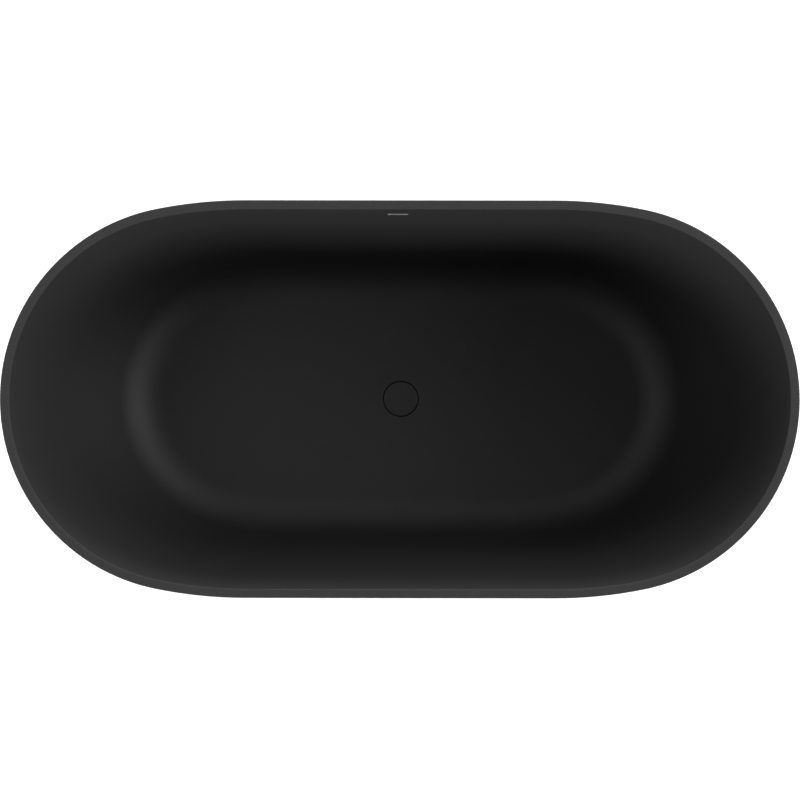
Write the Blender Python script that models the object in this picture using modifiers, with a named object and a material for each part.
"""Freestanding oval bathtub: an acrylic basin and skirt on a steel levelling frame, with a push-open waste.

Units are metres and +Z is up. The origin is on the floor under the middle of the tub, and +X runs along its
length. Mating pieces stand FIT apart, and a cutter runs OVERCUT past the faces that it opens.
"""
import math

import bmesh
import bpy
from mathutils import Vector

# Overall size
LENGTH = 1.600
WIDTH = 0.796
HEIGHT = 0.580
FIT = 0.0003
OVERCUT = 0.005

# Rim outline: a flat side, a wide blend arc and a round end
SIDE_FLAT = 0.310
END_RADIUS = 0.3876
END_STEPS = 9
BLEND_STEPS = 2
FLAT_STEPS = 2

# Basin
RIM_WIDTH = 0.018
RIM_EDGE = 0.0025
RIM_INNER_EDGE = 0.0015
ROUND_MIDDLE = 1 - math.sqrt(0.5)
LIP_DEPTH = 0.014
LIP_WALL = 0.005
SHELL_WALL = 0.006
FLOOR_HALF_LENGTH = 0.497
FLOOR_HALF_WIDTH = 0.2075
FLOOR_FLAT = 0.229
FLOOR_TOP = 0.140
FLOOR_FALL = 0.006
FILLET_END = 0.105
FILLET_SIDE = 0.084
FILLET_STEPS = 4
WALL_STEPS = 2
BACK_FILLET_STEPS = 3
BACK_WALL_STEPS = 2

# Outer skirt
SEAM = 0.0015
SKIRT_WALL = 0.005
SKIRT_BOTTOM = 0.010
BASE_HALF_LENGTH = 0.630
BASE_HALF_WIDTH = 0.295
BASE_FLAT = 0.270
BASE_EDGE = 0.003
BASE_FLANGE = 0.028
SKIRT_BOW = 0.45
SKIRT_STEPS = 5
STRIP_WALL = 0.005
STRIP_HEIGHT = 0.034
BASE_RING_WIDTH = 0.015
BASE_RING_HEIGHT = 0.012

# Floor board and frame
BOARD_WALL = 0.018
BOARD_HALF_LENGTH = 0.478
BOARD_HALF_WIDTH = 0.190
BOARD_HOLE = 0.055
TUBE = 0.030
TUBE_WALL = 0.002
RAIL_LENGTH = 0.880
RAIL_Y = 0.150
CROSS_X = (-0.400, -0.140, 0.140, 0.400)
CAP_PLATE = 0.003
CAP_SPIGOT = 0.012
SCREW_X = (-0.300, -0.220, 0.220, 0.300)
SCREW_RADIUS = 0.0024
SCREW_HEAD = 0.0055
SCREW_HEAD_HEIGHT = 0.0023
SCREW_BITE = 0.0133
SCREW_POINT = 0.003
SCREW_SPARE = 0.001
SCREW_HOLE = SCREW_RADIUS + FIT

# Levelling feet
FOOT_PLACES = ((0.400, RAIL_Y), (0.400, -RAIL_Y), (-0.400, RAIL_Y), (-0.400, -RAIL_Y), (CROSS_X[2], 0.0))
STUD_RADIUS = 0.005
STUD_HOLE = 0.0055
STUD_TOP = 0.100
NUT_ACROSS = 0.017
WELD_NUT_HEIGHT = 0.010
LOCK_NUT_HEIGHT = 0.008
STUD_HEX_HEIGHT = 0.005
PAD_RADIUS = 0.030
PAD_COLLAR = 0.012
PAD_COLLAR_TOP = 0.016
PAD_FLOOR = 0.006
PAD_EDGE = 0.001

# Waste and plug
RECESS_RADIUS = 0.038
RECESS_DEPTH = 0.010
RECESS_WALL = 0.005
RECESS_EDGE = 0.001
WASTE_HOLE = 0.0243
TAIL_RADIUS = 0.023
TAIL_BORE = 0.020
TAIL_END = 0.092
FLANGE_RADIUS = 0.036
FLANGE_WALL = 0.0025
SMALL_EDGE = 0.0008
TOP_GASKET_WALL = 0.0012
BOTTOM_GASKET_WALL = 0.003
GASKET_BORE = 0.0245
GASKET_RADIUS = 0.0335
BACKNUT_ACROSS = 0.062
BACKNUT_HEIGHT = 0.012
BOSS_RADIUS = 0.0085
BOSS_TOP = 0.106
BOSS_HEIGHT = 0.010
SPOKE_WIDTH = 0.004
SPOKE_HEIGHT = 0.008
SPOKE_ANGLES = (60, 180, 300)
CARTRIDGE_THREAD = 0.005
CARTRIDGE_RADIUS = 0.007
CARTRIDGE_TOP = 0.1335
CARTRIDGE_BOTTOM = 0.094
CARTRIDGE_FLOOR = 0.1085
SPRING_RADIUS = 0.004
SPRING_WIRE = 0.0005
SPRING_TURNS = 4
SPRING_STEPS = 8
SPRING_SPACE = 0.0093
PISTON_RADIUS = 0.0046
PISTON_PLAY = 0.0004
PISTON_WALL = 0.0027
STEM_RADIUS = 0.003
STEM_HEAD = 0.008
STEM_HEAD_WALL = 0.002
CAP_RADIUS = 0.035
CAP_WALL = 0.004
CAP_RISE = 0.0005
CAP_DOME = 0.0006
CAP_EDGE = 0.002
SEAL_INNER = 0.0235
SEAL_OUTER = 0.027

# Trap under the waste
DRAIN_AXIS_Z = 0.054
BOWL_RADIUS = 0.046
BOWL_TOP = 0.0775
BOWL_BOTTOM = 0.015
BOWL_EDGE = 0.0035
TRAP_WALL = 0.0025
DIP_RADIUS = 0.019
DIP_BOTTOM = 0.0265
NECK_FLANGE = 0.022
NECK_FLANGE_WALL = 0.003
UNION_RADIUS = 0.031
UNION_LIP = 0.0037
UNION_TOP = 0.103
WASHER_WALL = 0.0059
STUB_RADIUS = 0.023
STUB_START = 0.0375
STUB_REACH = 0.010
STUB_END = 0.090
STUB_BORE = 0.0165
SOCKET_START = 0.066
PIPE_RADIUS = 0.020
PIPE_BORE = 0.018
PIPE_END = 0.360
RING_WALL = 0.004
OUTLET_NUT_RADIUS = 0.030
OUTLET_NUT_START = 0.072
OUTLET_NUT_LIP = 0.0054

# Heights that follow from the stack above
HALF_LENGTH = LENGTH / 2
HALF_WIDTH = WIDTH / 2
FLOOR_EDGE_TOP = FLOOR_TOP + FLOOR_FALL
FLOOR_UNDERSIDE = FLOOR_TOP - SHELL_WALL
LIP_BOTTOM = HEIGHT - LIP_DEPTH
SKIRT_TOP = LIP_BOTTOM - SEAM
STRIP_TOP = HEIGHT - SHELL_WALL - FIT
STRIP_BOTTOM = STRIP_TOP - STRIP_HEIGHT
BOARD_TOP = FLOOR_UNDERSIDE - FIT
BOARD_BOTTOM = BOARD_TOP - BOARD_WALL
TUBE_TOP = BOARD_BOTTOM - FIT
TUBE_BOTTOM = TUBE_TOP - TUBE
TUBE_MIDDLE = TUBE_TOP - TUBE / 2
WELD_NUT_TOP = TUBE_BOTTOM - FIT
WELD_NUT_BOTTOM = WELD_NUT_TOP - WELD_NUT_HEIGHT
LOCK_NUT_TOP = WELD_NUT_BOTTOM - FIT
RECESS_TOP = FLOOR_TOP - RECESS_DEPTH
RECESS_UNDERSIDE = RECESS_TOP - RECESS_WALL
FLANGE_BOTTOM = RECESS_TOP + TOP_GASKET_WALL + 2 * FIT
FLANGE_TOP = FLANGE_BOTTOM + FLANGE_WALL
CAP_TOP = FLOOR_TOP + CAP_RISE
CAP_BOTTOM = CAP_TOP - CAP_WALL
NECK_TOP = TAIL_END - WASHER_WALL - 2 * FIT

# Colours, roughness and metal of each finish
FINISHES = {
    "black_acrylic": ((0.012, 0.012, 0.013, 1.0), 0.38, 0.0),
    "black_metal": ((0.014, 0.014, 0.015, 1.0), 0.36, 0.6),
    "glass_fibre": ((0.42, 0.40, 0.33, 1.0), 0.70, 0.0),
    "board": ((0.45, 0.33, 0.20, 1.0), 0.85, 0.0),
    "zinc_steel": ((0.55, 0.56, 0.57, 1.0), 0.38, 1.0),
    "brass": ((0.70, 0.52, 0.26, 1.0), 0.30, 1.0),
    "spring_steel": ((0.60, 0.60, 0.60, 1.0), 0.25, 1.0),
    "black_plastic": ((0.020, 0.020, 0.020, 1.0), 0.55, 0.0),
    "white_plastic": ((0.78, 0.78, 0.76, 1.0), 0.45, 0.0),
    "rubber": ((0.025, 0.025, 0.026, 1.0), 0.80, 0.0),
}


def clear_scene():
    for old in list(bpy.data.objects):
        bpy.data.objects.remove(old, do_unlink=True)


def new_collection(name):
    group = bpy.data.collections.new(name)
    bpy.context.scene.collection.children.link(group)
    return group


clear_scene()
PARTS = new_collection("freestanding_bathtub")
CUTTERS = new_collection("cutters")


def finish(name):
    """The Principled material of one finish, made on first use."""
    found = bpy.data.materials.get(name)
    if found:
        return found
    colour, roughness, metallic = FINISHES[name]
    made = bpy.data.materials.new(name)
    made.use_nodes = True
    shader = made.node_tree.nodes["Principled BSDF"]
    shader.inputs["Base Color"].default_value = colour
    shader.inputs["Roughness"].default_value = roughness
    shader.inputs["Metallic"].default_value = metallic
    made.diffuse_color = colour
    return made


def place(name, mesh, look=None):
    """Link a mesh as a part, or as a hidden cutter when it has no finish."""
    made = bpy.data.objects.new(name, mesh)
    if look:
        if not mesh.materials:
            mesh.materials.append(finish(look))
        PARTS.objects.link(made)
    else:
        made.display_type = "WIRE"
        made.hide_render = True
        CUTTERS.objects.link(made)
    return made


def smooth(mesh):
    mesh.shade_smooth()
    mesh.set_sharp_from_angle(angle=math.radians(35))


def baked(source):
    """The evaluated mesh of an object, in world space and welded; the object itself is removed."""
    bpy.context.view_layer.update()
    evaluated = source.evaluated_get(bpy.context.evaluated_depsgraph_get())
    mesh = bpy.data.meshes.new_from_object(evaluated)
    mesh.transform(source.matrix_world)
    bpy.data.objects.remove(source, do_unlink=True)
    work = bmesh.new()
    work.from_mesh(mesh)
    bmesh.ops.remove_doubles(work, verts=work.verts, dist=1e-5)
    work.to_mesh(mesh)
    work.free()
    return mesh


def boolean(target, tool, operation="DIFFERENCE"):
    step = target.modifiers.new(tool.name, "BOOLEAN")
    step.operation = operation
    step.solver = "EXACT"
    step.object = tool


def outline_template():
    """The rim outline, anticlockwise from its +X end, as (x, y, end share).

    The end share is 1 at the tip of each end and 0 along the flat sides.
    """
    end_centre = HALF_LENGTH - END_RADIUS
    reach = end_centre - SIDE_FLAT
    blend = 2 * math.atan((HALF_WIDTH - END_RADIUS) / reach)
    blend_radius = END_RADIUS + reach / math.sin(blend)
    quarter = []
    for step in range(END_STEPS):
        turn = (math.pi / 2 - blend) * step / END_STEPS
        x = end_centre + END_RADIUS * math.cos(turn)
        quarter.append((x, END_RADIUS * math.sin(turn), math.cos(turn) ** 2))
    for step in range(BLEND_STEPS):
        turn = math.pi / 2 - blend * (1 - step / BLEND_STEPS)
        x = SIDE_FLAT + blend_radius * math.cos(turn)
        y = HALF_WIDTH - blend_radius * (1 - math.sin(turn))
        quarter.append((x, y, math.cos(turn) ** 2))
    for step in range(FLAT_STEPS + 1):
        quarter.append((SIDE_FLAT * (1 - step / FLAT_STEPS), HALF_WIDTH, 0.0))
    half = quarter + [(-x, y, share) for x, y, share in reversed(quarter[:-1])]
    return half + [(x, -y, share) for x, y, share in reversed(half[1:-1])]


TEMPLATE = outline_template()


def level(half_length, half_width, flat, z_end, z_side=None):
    """The rim outline stretched to another size; the ends and the sides may stand at different heights."""
    if z_side is None:
        z_side = z_end
    end_stretch = (half_length - flat) / (HALF_LENGTH - SIDE_FLAT)
    ring = []
    for x, y, share in TEMPLATE:
        past = max(0.0, abs(x) - SIDE_FLAT)
        along = min(abs(x), SIDE_FLAT) * flat / SIDE_FLAT + past * end_stretch
        height = z_side + (z_end - z_side) * share
        ring.append(Vector((math.copysign(along, x), y * half_width / HALF_WIDTH, height)))
    return ring


def circle(radius, z):
    """A round ring with as many points as the outline."""
    count = len(TEMPLATE)
    turns = [2 * math.pi * step / count for step in range(count)]
    return [Vector((radius * math.cos(turn), radius * math.sin(turn), z)) for turn in turns]


def loft(name, rings, look):
    """A closed body from a loop of rings, each joined to the next and the last to the first.

    The rings run inwards over the top and outwards underneath.
    """
    work = bmesh.new()
    rows = [[work.verts.new(point) for point in ring] for ring in rings]
    count = len(rows[0])
    for row, following in zip(rows, rows[1:] + rows[:1]):
        for index in range(count):
            after = (index + 1) % count
            work.faces.new((row[index], row[after], following[after], following[index]))
    mesh = bpy.data.meshes.new(name)
    work.to_mesh(mesh)
    work.free()
    smooth(mesh)
    return place(name, mesh, look)


def turned(name, profile, look=None, segments=24, closed=False):
    """A profile of (radius, z) points turned round Z; it runs down its outer side."""
    mesh = bpy.data.meshes.new(name)
    edges = [(index, index + 1) for index in range(len(profile) - 1)]
    if closed:
        edges.append((len(profile) - 1, 0))
    mesh.from_pydata([(radius, 0.0, z) for radius, z in profile], edges, [])
    made = place(name, mesh, look)
    spin = made.modifiers.new("turn", "SCREW")
    spin.axis = "Z"
    spin.steps = segments
    spin.render_steps = segments
    spin.use_merge_vertices = True
    spin.merge_threshold = 1e-5
    spin.use_smooth_shade = True
    return made


def ring(name, inner, outer, bottom, top, look, segments=24):
    """A plain turned ring of rectangular section."""
    section = [(outer, top), (outer, bottom), (inner, bottom), (inner, top)]
    return turned(name, section, look, segments, closed=True)


def prism(name, sides, radius, bottom, top, look=None, x=0.0, y=0.0):
    """An upright prism; with many sides it is a cylinder."""
    work = bmesh.new()
    height = top - bottom
    bmesh.ops.create_cone(work, cap_ends=True, segments=sides, radius1=radius, radius2=radius, depth=height)
    bmesh.ops.translate(work, verts=work.verts, vec=(x, y, bottom + height / 2))
    mesh = bpy.data.meshes.new(name)
    work.to_mesh(mesh)
    work.free()
    return place(name, mesh, look)


def block(name, size, centre, look=None):
    work = bmesh.new()
    bmesh.ops.create_cube(work, size=1.0)
    bmesh.ops.scale(work, verts=work.verts, vec=size)
    bmesh.ops.translate(work, verts=work.verts, vec=centre)
    mesh = bpy.data.meshes.new(name)
    work.to_mesh(mesh)
    work.free()
    return place(name, mesh, look)


def hex_nut_mesh(name, across, bore, bottom, top, sides=16):
    """A hexagonal nut with a round bore, as a mesh on the Z axis."""
    nut = prism(name, 6, across / math.sqrt(3), bottom, top)
    hole = prism(name + "_bore", sides, bore, bottom - OVERCUT, top + OVERCUT)
    boolean(nut, hole)
    return baked(nut)


# ---------------------------------------------------------------- basin and skirt

def wall_section(floor, rim, fillet):
    """One upright section of a wall as (fillet centre, fillet radius, lean from upright).

    The wall is the tangent from the rim's inner edge to the fillet that stands on the floor's edge.
    """
    reach = rim - floor
    drop = HEIGHT - FLOOR_EDGE_TOP - fillet
    lean = math.acos(fillet / math.hypot(reach, drop)) - math.atan2(drop, reach)
    return floor, fillet, lean


WALL_SECTIONS = (
    wall_section(FLOOR_HALF_LENGTH, HALF_LENGTH - RIM_WIDTH, FILLET_END),
    wall_section(FLOOR_HALF_WIDTH, HALF_WIDTH - RIM_WIDTH, FILLET_SIDE),
)


def fillet_ring(offset, share):
    """A ring round the fillet; share is 0 where it meets the wall and 1 at the floor."""
    places = []
    for centre, radius, lean in WALL_SECTIONS:
        turn = lean + (math.pi / 2 - lean) * share
        out = centre + (radius + offset) * math.cos(turn)
        places.append((out, FLOOR_EDGE_TOP + radius - (radius + offset) * math.sin(turn)))
    (half_length, z_end), (half_width, z_side) = places
    return level(half_length, half_width, FLOOR_FLAT, z_end, z_side)


def wall_ring(offset, top, share):
    """A ring on the straight part of the walls; share is 0 at the top and 1 where the fillet starts."""
    places = []
    for centre, radius, lean in WALL_SECTIONS:
        foot_out = centre + (radius + offset) * math.cos(lean)
        foot_z = FLOOR_EDGE_TOP + radius - (radius + offset) * math.sin(lean)
        z = top + (foot_z - top) * share
        places.append((foot_out + (z - foot_z) * math.tan(lean), z))
    (half_length, z_end), (half_width, z_side) = places
    return level(half_length, half_width, SIDE_FLAT + (FLOOR_FLAT - SIDE_FLAT) * share, z_end, z_side)


def wall_rings(offset, top, wall_steps, fillet_steps):
    """Rings down the wall and round the fillet, on a surface that stands offset behind the inner face."""
    wall = [wall_ring(offset, top, step / wall_steps) for step in range(wall_steps)]
    return wall + [fillet_ring(offset, step / fillet_steps) for step in range(fillet_steps + 1)]


def rim_ring(inset, z):
    return level(HALF_LENGTH - inset, HALF_WIDTH - inset, SIDE_FLAT, z)


def build_basin():
    """The basin: rim lip, rim, walls, fillet, falling floor and the stepped recess for the waste."""
    top = [
        rim_ring(0.0, LIP_BOTTOM),
        rim_ring(0.0, HEIGHT - RIM_EDGE),
        rim_ring(RIM_EDGE * ROUND_MIDDLE, HEIGHT - RIM_EDGE * ROUND_MIDDLE),
        rim_ring(RIM_EDGE, HEIGHT),
        rim_ring(RIM_WIDTH - RIM_INNER_EDGE, HEIGHT),
    ]
    middle_length = (FLOOR_HALF_LENGTH + RECESS_RADIUS) / 2
    middle_width = (FLOOR_HALF_WIDTH + RECESS_RADIUS) / 2
    floor = [
        level(middle_length, middle_width, FLOOR_FLAT / 2, FLOOR_TOP + FLOOR_FALL / 2),
        circle(RECESS_RADIUS + RECESS_EDGE, FLOOR_TOP),
        circle(RECESS_RADIUS, FLOOR_TOP - RECESS_EDGE),
        circle(RECESS_RADIUS, RECESS_TOP),
        circle(WASTE_HOLE, RECESS_TOP),
    ]
    edge = FLOOR_EDGE_TOP - FLOOR_UNDERSIDE
    below = [
        circle(WASTE_HOLE, RECESS_UNDERSIDE),
        circle(RECESS_RADIUS + RECESS_WALL, RECESS_UNDERSIDE),
        circle(RECESS_RADIUS + RECESS_WALL, FLOOR_UNDERSIDE),
        level(FLOOR_HALF_LENGTH - edge, FLOOR_HALF_WIDTH - edge, FLOOR_FLAT, FLOOR_UNDERSIDE),
    ]
    back = list(reversed(wall_rings(SHELL_WALL, HEIGHT - SHELL_WALL, BACK_WALL_STEPS, BACK_FILLET_STEPS)))
    lip = [rim_ring(LIP_WALL, HEIGHT - SHELL_WALL), rim_ring(LIP_WALL, LIP_BOTTOM)]
    inner = wall_rings(0.0, HEIGHT - RIM_INNER_EDGE, WALL_STEPS, FILLET_STEPS)
    loft("basin_shell", top + inner + floor + below + back + lip, "black_acrylic")


def skirt_ring(z, inset, at=None):
    """A ring of the skirt at one height, inset from its outer face as that face lies at height at."""
    share = (SKIRT_TOP - (z if at is None else at)) / (SKIRT_TOP - SKIRT_BOTTOM)
    sweep = (1 - SKIRT_BOW) * share + SKIRT_BOW * share ** 2
    half_length = HALF_LENGTH + (BASE_HALF_LENGTH - HALF_LENGTH) * sweep - inset
    half_width = HALF_WIDTH + (BASE_HALF_WIDTH - HALF_WIDTH) * sweep - inset
    return level(half_length, half_width, SIDE_FLAT + (BASE_FLAT - SIDE_FLAT) * sweep, z)


def skirt_heights(bottom):
    """Heights of the skirt's rings from its top to a lower edge, one of them level with the strip."""
    step = (STRIP_BOTTOM - bottom) / SKIRT_STEPS
    return [SKIRT_TOP] + [STRIP_BOTTOM - step * index for index in range(SKIRT_STEPS + 1)]


def build_skirt():
    """The outer shell, flush with the lip above it, with a flange turned in at its foot."""
    flange_top = SKIRT_BOTTOM + SKIRT_WALL
    inner = [skirt_ring(z, SKIRT_WALL) for z in reversed(skirt_heights(flange_top))]
    outer = [skirt_ring(z, 0.0) for z in skirt_heights(SKIRT_BOTTOM + BASE_EDGE)]
    flange = [
        skirt_ring(SKIRT_BOTTOM, BASE_EDGE),
        skirt_ring(SKIRT_BOTTOM, BASE_FLANGE),
        skirt_ring(flange_top, BASE_FLANGE, SKIRT_BOTTOM),
    ]
    loft("outer_skirt", list(reversed(outer + flange + inner)), "black_acrylic")


def build_bonding_strips():
    """The strip bonded behind the lip and the skirt's top, and the ring bonded on the skirt's foot flange."""
    face = LIP_WALL + FIT
    strip = [
        skirt_ring(STRIP_BOTTOM, face),
        rim_ring(face, SKIRT_TOP),
        rim_ring(face, STRIP_TOP),
        rim_ring(face + STRIP_WALL, STRIP_TOP),
        rim_ring(face + STRIP_WALL, SKIRT_TOP),
        skirt_ring(STRIP_BOTTOM, face + STRIP_WALL),
    ]
    loft("rim_bonding_strip", strip, "glass_fibre")
    bottom = SKIRT_BOTTOM + SKIRT_WALL + FIT
    top = bottom + BASE_RING_HEIGHT
    outer = BASE_FLANGE - BASE_RING_WIDTH
    base = [
        skirt_ring(bottom, outer, SKIRT_BOTTOM),
        skirt_ring(top, outer, SKIRT_BOTTOM),
        skirt_ring(top, BASE_FLANGE, SKIRT_BOTTOM),
        skirt_ring(bottom, BASE_FLANGE, SKIRT_BOTTOM),
    ]
    loft("skirt_base_ring", base, "board")


# ---------------------------------------------------------------- board and frame

def screw_places():
    return [(x, y) for y in (-RAIL_Y, RAIL_Y) for x in SCREW_X]


def build_board():
    """The oval board under the floor, with a clearance hole for the waste and pilot holes for the screws."""
    board = loft("floor_board", [
        level(BOARD_HALF_LENGTH, BOARD_HALF_WIDTH, FLOOR_FLAT, BOARD_TOP),
        circle(BOARD_HOLE, BOARD_TOP),
        circle(BOARD_HOLE, BOARD_BOTTOM),
        level(BOARD_HALF_LENGTH, BOARD_HALF_WIDTH, FLOOR_FLAT, BOARD_BOTTOM),
    ], "board")
    for index, (x, y) in enumerate(screw_places(), 1):
        pilot_top = BOARD_BOTTOM + SCREW_BITE + SCREW_SPARE
        pilot = prism(f"board_pilot_{index}", 10, SCREW_HOLE, BOARD_BOTTOM - OVERCUT, pilot_top, x=x, y=y)
        boolean(board, pilot)


def square_tube(name, length, centre, along_x, holes):
    """A square steel tube with open ends; holes are (x, y, radius, bottom, top) drillings."""
    size = (length, TUBE, TUBE) if along_x else (TUBE, length, TUBE)
    hollow_length = length + 2 * OVERCUT
    inside = TUBE - 2 * TUBE_WALL
    hollow = (hollow_length, inside, inside) if along_x else (inside, hollow_length, inside)
    tube = block(name, size, centre, "zinc_steel")
    boolean(tube, block(name + "_hollow", hollow, centre))
    for index, (x, y, radius, bottom, top) in enumerate(holes, 1):
        boolean(tube, prism(f"{name}_hole_{index}", 10, radius, bottom, top, x=x, y=y))


def build_frame():
    """Two long rails joined by four cross tubes, with plastic caps in the rails' ends."""
    inside_floor = TUBE_BOTTOM + TUBE_WALL
    below = TUBE_BOTTOM - OVERCUT
    for side, y in (("front", -RAIL_Y), ("back", RAIL_Y)):
        holes = [(x, y, STUD_HOLE, below, inside_floor + OVERCUT) for x, foot_y in FOOT_PLACES if foot_y == y]
        holes += [(x, y, SCREW_HOLE, below, TUBE_TOP + OVERCUT) for x in SCREW_X]
        square_tube(f"frame_rail_{side}", RAIL_LENGTH, (0.0, y, TUBE_MIDDLE), True, holes)
        for end, sign in (("left", -1), ("right", 1)):
            build_end_cap(f"rail_end_cap_{side}_{end}", sign, y)
    cross_length = 2 * RAIL_Y - TUBE - 2 * FIT
    for index, x in enumerate(CROSS_X, 1):
        feet = [(x, foot_y) for foot_x, foot_y in FOOT_PLACES if foot_x == x and foot_y == 0.0]
        holes = [(x, foot_y, STUD_HOLE, below, inside_floor + OVERCUT) for x, foot_y in feet]
        square_tube(f"frame_cross_{index}", cross_length, (x, 0.0, TUBE_MIDDLE), False, holes)


def build_end_cap(name, sign, y):
    """A plastic cap: a square plate over the rail's end and a spigot inside it."""
    end = sign * RAIL_LENGTH / 2
    inside = TUBE - 2 * TUBE_WALL - 2 * FIT
    plate_middle = end + sign * (FIT + CAP_PLATE / 2)
    plate = block(name, (CAP_PLATE, TUBE, TUBE), (plate_middle, y, TUBE_MIDDLE))
    reach = CAP_SPIGOT + CAP_PLATE / 2
    middle = (plate_middle - sign * reach / 2, y, TUBE_MIDDLE)
    spigot = block(name + "_spigot", (reach, inside, inside), middle)
    boolean(plate, spigot, "UNION")
    place(name, baked(plate), "black_plastic")


def build_board_screws():
    """Screws up through the rails into the board; the eight share one mesh."""
    head_top = TUBE_BOTTOM - FIT
    head_bottom = head_top - SCREW_HEAD_HEIGHT
    tip = BOARD_BOTTOM + SCREW_BITE
    profile = [
        (0.0, tip),
        (SCREW_RADIUS, tip - SCREW_POINT),
        (SCREW_RADIUS, head_top),
        (SCREW_HEAD, head_top),
        (SCREW_HEAD * 0.7, head_bottom),
        (0.0, head_bottom),
    ]
    mesh = baked(turned("board_screw", profile, "zinc_steel", 10))
    for index, (x, y) in enumerate(screw_places(), 1):
        place(f"board_screw_{index}", mesh, "zinc_steel").location = (x, y, 0.0)


def build_feet():
    """Five levelling feet: a nut welded under the frame, a lock nut, a stud and its pad."""
    bore = STUD_RADIUS + FIT
    weld_nut = hex_nut_mesh("weld_nut", NUT_ACROSS, bore, WELD_NUT_BOTTOM, WELD_NUT_TOP)
    lock_nut = hex_nut_mesh("lock_nut", NUT_ACROSS, bore, LOCK_NUT_TOP - LOCK_NUT_HEIGHT, LOCK_NUT_TOP)
    stud_bottom = PAD_FLOOR + FIT
    hex_bottom = PAD_COLLAR_TOP + FIT
    rod = prism("foot_stud", 16, STUD_RADIUS, stud_bottom, STUD_TOP)
    grip = prism("foot_stud_hex", 6, NUT_ACROSS / math.sqrt(3), hex_bottom, hex_bottom + STUD_HEX_HEIGHT)
    boolean(rod, grip, "UNION")
    stud = baked(rod)
    profile = [
        (0.0, PAD_FLOOR),
        (bore, PAD_FLOOR),
        (bore, PAD_COLLAR_TOP),
        (PAD_COLLAR, PAD_COLLAR_TOP),
        (PAD_COLLAR * 1.25, PAD_FLOOR * 2),
        (PAD_RADIUS, PAD_FLOOR),
        (PAD_RADIUS, PAD_EDGE),
        (PAD_RADIUS - PAD_EDGE, 0.0),
        (0.0, 0.0),
    ]
    pad = baked(turned("foot_pad", profile, "black_plastic", 20))
    for index, (x, y) in enumerate(FOOT_PLACES, 1):
        for name, mesh, look in (
            ("foot_weld_nut", weld_nut, "zinc_steel"),
            ("foot_lock_nut", lock_nut, "zinc_steel"),
            ("foot_stud", stud, "zinc_steel"),
            ("foot_pad", pad, "black_plastic"),
        ):
            place(f"{name}_{index}", mesh, look).location = (x, y, 0.0)


# ---------------------------------------------------------------- waste, plug and trap

def build_waste():
    """The waste fitting: flanged tail with a three-armed boss, two gaskets and the nut below."""
    section = [
        (FLANGE_RADIUS, FLANGE_TOP - SMALL_EDGE),
        (FLANGE_RADIUS, FLANGE_BOTTOM),
        (TAIL_RADIUS, FLANGE_BOTTOM),
        (TAIL_RADIUS, TAIL_END),
        (TAIL_BORE, TAIL_END),
        (TAIL_BORE, FLANGE_TOP),
        (FLANGE_RADIUS - SMALL_EDGE, FLANGE_TOP),
    ]
    body = turned("waste_body", section, "black_metal", 28, closed=True)
    boss_bottom = BOSS_TOP - BOSS_HEIGHT
    boss = ring("waste_boss", CARTRIDGE_THREAD + FIT, BOSS_RADIUS, boss_bottom, BOSS_TOP, None, 20)
    inner = (CARTRIDGE_THREAD + BOSS_RADIUS) / 2
    outer = (TAIL_BORE + TAIL_RADIUS) / 2
    for angle in SPOKE_ANGLES:
        size = (outer - inner, SPOKE_WIDTH, SPOKE_HEIGHT)
        spoke = block(f"waste_spoke_{angle}", size, ((outer + inner) / 2, 0.0, BOSS_TOP - BOSS_HEIGHT / 2))
        spoke.rotation_euler.z = math.radians(angle)
        boolean(body, spoke, "UNION")
    boolean(body, boss, "UNION")
    ring("waste_top_gasket", GASKET_BORE, GASKET_RADIUS, RECESS_TOP + FIT, FLANGE_BOTTOM - FIT, "rubber")
    gasket_top = RECESS_UNDERSIDE - FIT
    gasket_bottom = gasket_top - BOTTOM_GASKET_WALL
    ring("waste_bottom_gasket", GASKET_BORE, GASKET_RADIUS, gasket_bottom, gasket_top, "rubber")
    nut_top = gasket_bottom - FIT
    nut_bottom = nut_top - BACKNUT_HEIGHT
    nut = hex_nut_mesh("waste_backnut", BACKNUT_ACROSS, TAIL_RADIUS + FIT, nut_bottom, nut_top, 28)
    place("waste_backnut", nut, "brass")


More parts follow.
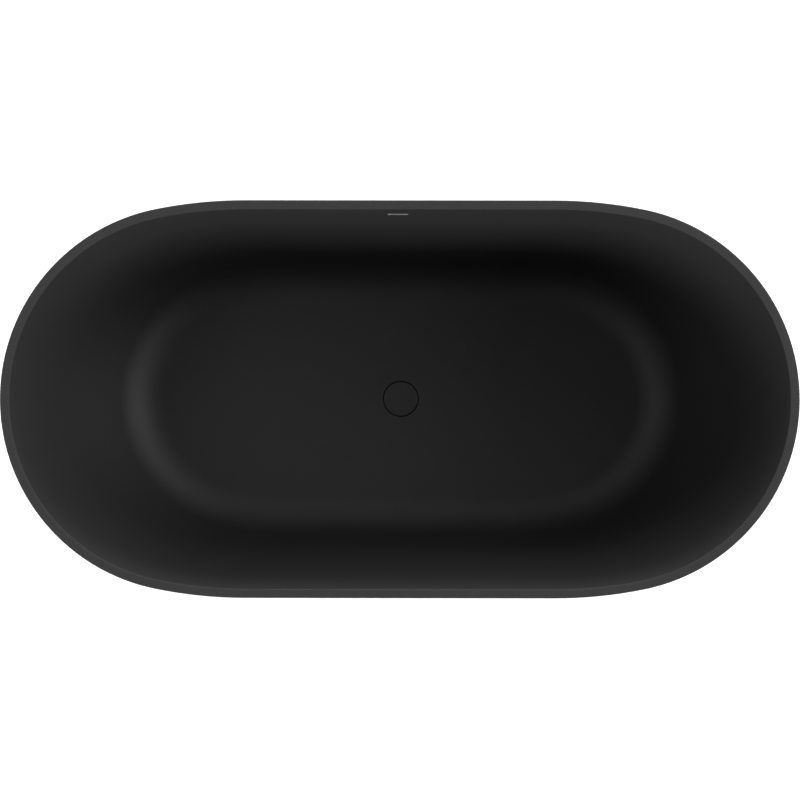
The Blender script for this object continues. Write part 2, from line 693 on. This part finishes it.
def build_cartridge():
    """The push-open cartridge in the boss, its spring, and the stem, seal and cap that it carries."""
    cup_bore = PISTON_RADIUS + PISTON_PLAY
    seat = BOSS_TOP + FIT
    cup = [
        (0.0, CARTRIDGE_FLOOR),
        (cup_bore, CARTRIDGE_FLOOR),
        (cup_bore, CARTRIDGE_TOP),
        (CARTRIDGE_RADIUS, CARTRIDGE_TOP),
        (CARTRIDGE_RADIUS, seat),
        (CARTRIDGE_THREAD, seat),
        (CARTRIDGE_THREAD, CARTRIDGE_BOTTOM),
        (0.0, CARTRIDGE_BOTTOM),
    ]
    turned("cartridge", cup, "brass", 20)
    piston_bottom = CARTRIDGE_FLOOR + SPRING_SPACE
    build_spring(CARTRIDGE_FLOOR + FIT + SPRING_WIRE, piston_bottom - FIT - SPRING_WIRE)
    head_top = CAP_BOTTOM - FIT
    stem = [
        (0.0, head_top),
        (STEM_HEAD, head_top),
        (STEM_HEAD, head_top - STEM_HEAD_WALL),
        (STEM_RADIUS, head_top - STEM_HEAD_WALL),
        (STEM_RADIUS, piston_bottom + PISTON_WALL),
        (PISTON_RADIUS, piston_bottom + PISTON_WALL),
        (PISTON_RADIUS, piston_bottom),
        (0.0, piston_bottom),
    ]
    turned("plug_stem", stem, "brass", 16)
    ring("plug_seal", SEAL_INNER, SEAL_OUTER, FLANGE_TOP + FIT, head_top, "rubber")
    cap = [
        (0.0, CAP_TOP),
        (CAP_RADIUS / 2, CAP_TOP - CAP_DOME / 5),
        (CAP_RADIUS - CAP_EDGE, CAP_TOP - CAP_DOME),
        (CAP_RADIUS, CAP_TOP - CAP_DOME - CAP_EDGE / 2),
        (CAP_RADIUS, CAP_BOTTOM + SMALL_EDGE),
        (CAP_RADIUS - SMALL_EDGE, CAP_BOTTOM),
        (0.0, CAP_BOTTOM),
    ]
    turned("plug_cap", cap, "black_metal", 36)


def build_spring(bottom, top):
    """The cartridge's coil spring as one open wire."""
    wire = bpy.data.curves.new("cartridge_spring", "CURVE")
    wire.dimensions = "3D"
    wire.bevel_depth = SPRING_WIRE
    wire.bevel_resolution = 2
    wire.use_fill_caps = True
    wire.materials.append(finish("spring_steel"))
    count = SPRING_TURNS * SPRING_STEPS
    line = wire.splines.new("POLY")
    line.points.add(count)
    for index, slot in enumerate(line.points):
        turn = 2 * math.pi * index / SPRING_STEPS
        z = bottom + (top - bottom) * index / count
        slot.co = (SPRING_RADIUS * math.cos(turn), SPRING_RADIUS * math.sin(turn), z, 1.0)
    PARTS.objects.link(bpy.data.objects.new("cartridge_spring", wire))


def lay_along_drain(made):
    """Turn a piece that was modelled along +Z so that it runs along -X on the trap's outlet axis."""
    made.rotation_euler = (0.0, -math.pi / 2, 0.0)
    made.location.z = DRAIN_AXIS_Z


def build_trap():
    """The shallow trap: union nut, washer, bowl with a dip tube, and a compression outlet to the pipe."""
    neck_bottom = NECK_TOP - NECK_FLANGE_WALL
    dip_bore = DIP_RADIUS - TRAP_WALL
    bowl_bore = BOWL_RADIUS - TRAP_WALL
    bowl = [
        (0.0, BOWL_BOTTOM + TRAP_WALL),
        (bowl_bore - BOWL_EDGE, BOWL_BOTTOM + TRAP_WALL),
        (bowl_bore, BOWL_BOTTOM + TRAP_WALL + BOWL_EDGE),
        (bowl_bore, BOWL_TOP - TRAP_WALL),
        (DIP_RADIUS, BOWL_TOP - TRAP_WALL),
        (DIP_RADIUS, DIP_BOTTOM),
        (dip_bore, DIP_BOTTOM),
        (dip_bore, NECK_TOP),
        (NECK_FLANGE, NECK_TOP),
        (NECK_FLANGE, neck_bottom),
        (DIP_RADIUS, neck_bottom),
        (DIP_RADIUS, BOWL_TOP),
        (BOWL_RADIUS - BOWL_EDGE, BOWL_TOP),
        (BOWL_RADIUS, BOWL_TOP - BOWL_EDGE),
        (BOWL_RADIUS, BOWL_BOTTOM + BOWL_EDGE),
        (BOWL_RADIUS - BOWL_EDGE, BOWL_BOTTOM),
        (0.0, BOWL_BOTTOM),
    ]
    trap = turned("trap_body", bowl, "white_plastic", 28)
    stub = prism("trap_stub", 24, STUB_RADIUS, STUB_START, STUB_END)
    bore = prism("trap_stub_bore", 24, STUB_BORE, STUB_START - STUB_REACH, STUB_END + OVERCUT)
    socket = prism("trap_stub_socket", 24, PIPE_RADIUS + FIT, SOCKET_START, STUB_END + OVERCUT)
    for tool, operation in ((stub, "UNION"), (bore, "DIFFERENCE"), (socket, "DIFFERENCE")):
        lay_along_drain(tool)
        boolean(trap, tool, operation)
    union_bottom = neck_bottom - FIT - UNION_LIP
    union = [
        (UNION_RADIUS, UNION_TOP),
        (UNION_RADIUS, union_bottom),
        (DIP_RADIUS + FIT, union_bottom),
        (DIP_RADIUS + FIT, union_bottom + UNION_LIP),
        (TAIL_RADIUS + FIT, union_bottom + UNION_LIP),
        (TAIL_RADIUS + FIT, UNION_TOP),
    ]
    turned("trap_union_nut", union, "white_plastic", 24, closed=True)
    ring("trap_inlet_washer", dip_bore, NECK_FLANGE, NECK_TOP + FIT, TAIL_END - FIT, "rubber")
    ring_start = STUB_END + FIT
    ring_end = ring_start + RING_WALL
    lip_start = ring_end + FIT
    lip_end = lip_start + OUTLET_NUT_LIP
    nut = [
        (OUTLET_NUT_RADIUS, lip_end),
        (OUTLET_NUT_RADIUS, OUTLET_NUT_START),
        (STUB_RADIUS + FIT, OUTLET_NUT_START),
        (STUB_RADIUS + FIT, lip_start),
        (PIPE_RADIUS + FIT, lip_start),
        (PIPE_RADIUS + FIT, lip_end),
    ]
    lay_along_drain(turned("outlet_nut", nut, "white_plastic", 24, closed=True))
    lay_along_drain(ring("outlet_ring", PIPE_RADIUS + FIT, STUB_RADIUS, ring_start, ring_end, "rubber"))
    pipe_start = SOCKET_START + FIT
    lay_along_drain(ring("outlet_pipe", PIPE_BORE, PIPE_RADIUS, pipe_start, PIPE_END, "white_plastic"))


build_basin()
build_skirt()
build_bonding_strips()
build_board()
build_frame()
build_board_screws()
build_feet()
build_waste()
build_cartridge()
build_trap()
